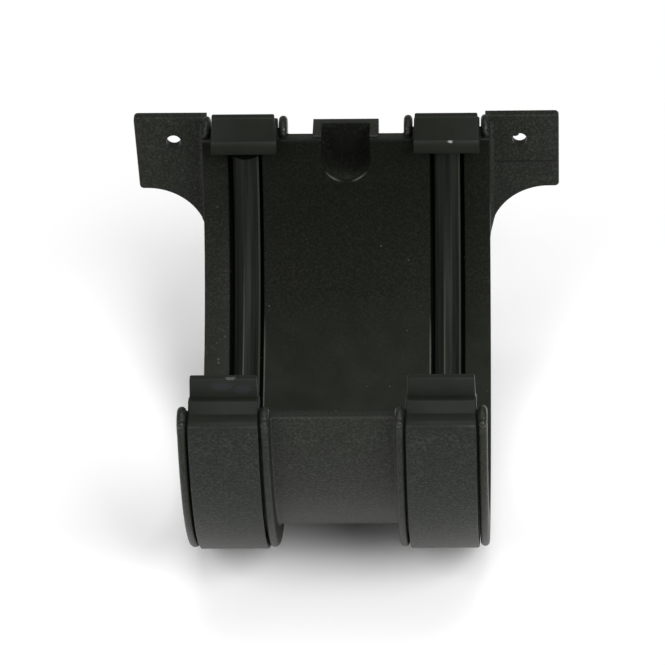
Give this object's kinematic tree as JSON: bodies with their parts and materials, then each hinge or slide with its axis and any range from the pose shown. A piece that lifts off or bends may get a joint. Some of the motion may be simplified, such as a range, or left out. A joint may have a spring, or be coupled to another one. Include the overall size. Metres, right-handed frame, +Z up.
{
  "type": "gutter union",
  "caption": "Half-round plastic gutter union with snap-over retaining straps, rubber seals and fascia wings with screw holes.",
  "frame": {"origin": "midway between the two fascia screw holes, on the plane of the fascia board", "axes": "+X along the gutter, +Y towards the fascia board, +Z up"},
  "size_m": [0.1038, 0.1309, 0.0733],
  "materials": {
    "body_pvc": "fine matte",
    "strap_pvc": "fine matte",
    "seal_rubber": "satin"
  },
  "bodies": {
    "root": {"union_body": "body_pvc", "left_strap": "strap_pvc", "right_strap": "strap_pvc", "left_seal": "seal_rubber", "right_seal": "seal_rubber"}
  },
  "joints": []
}
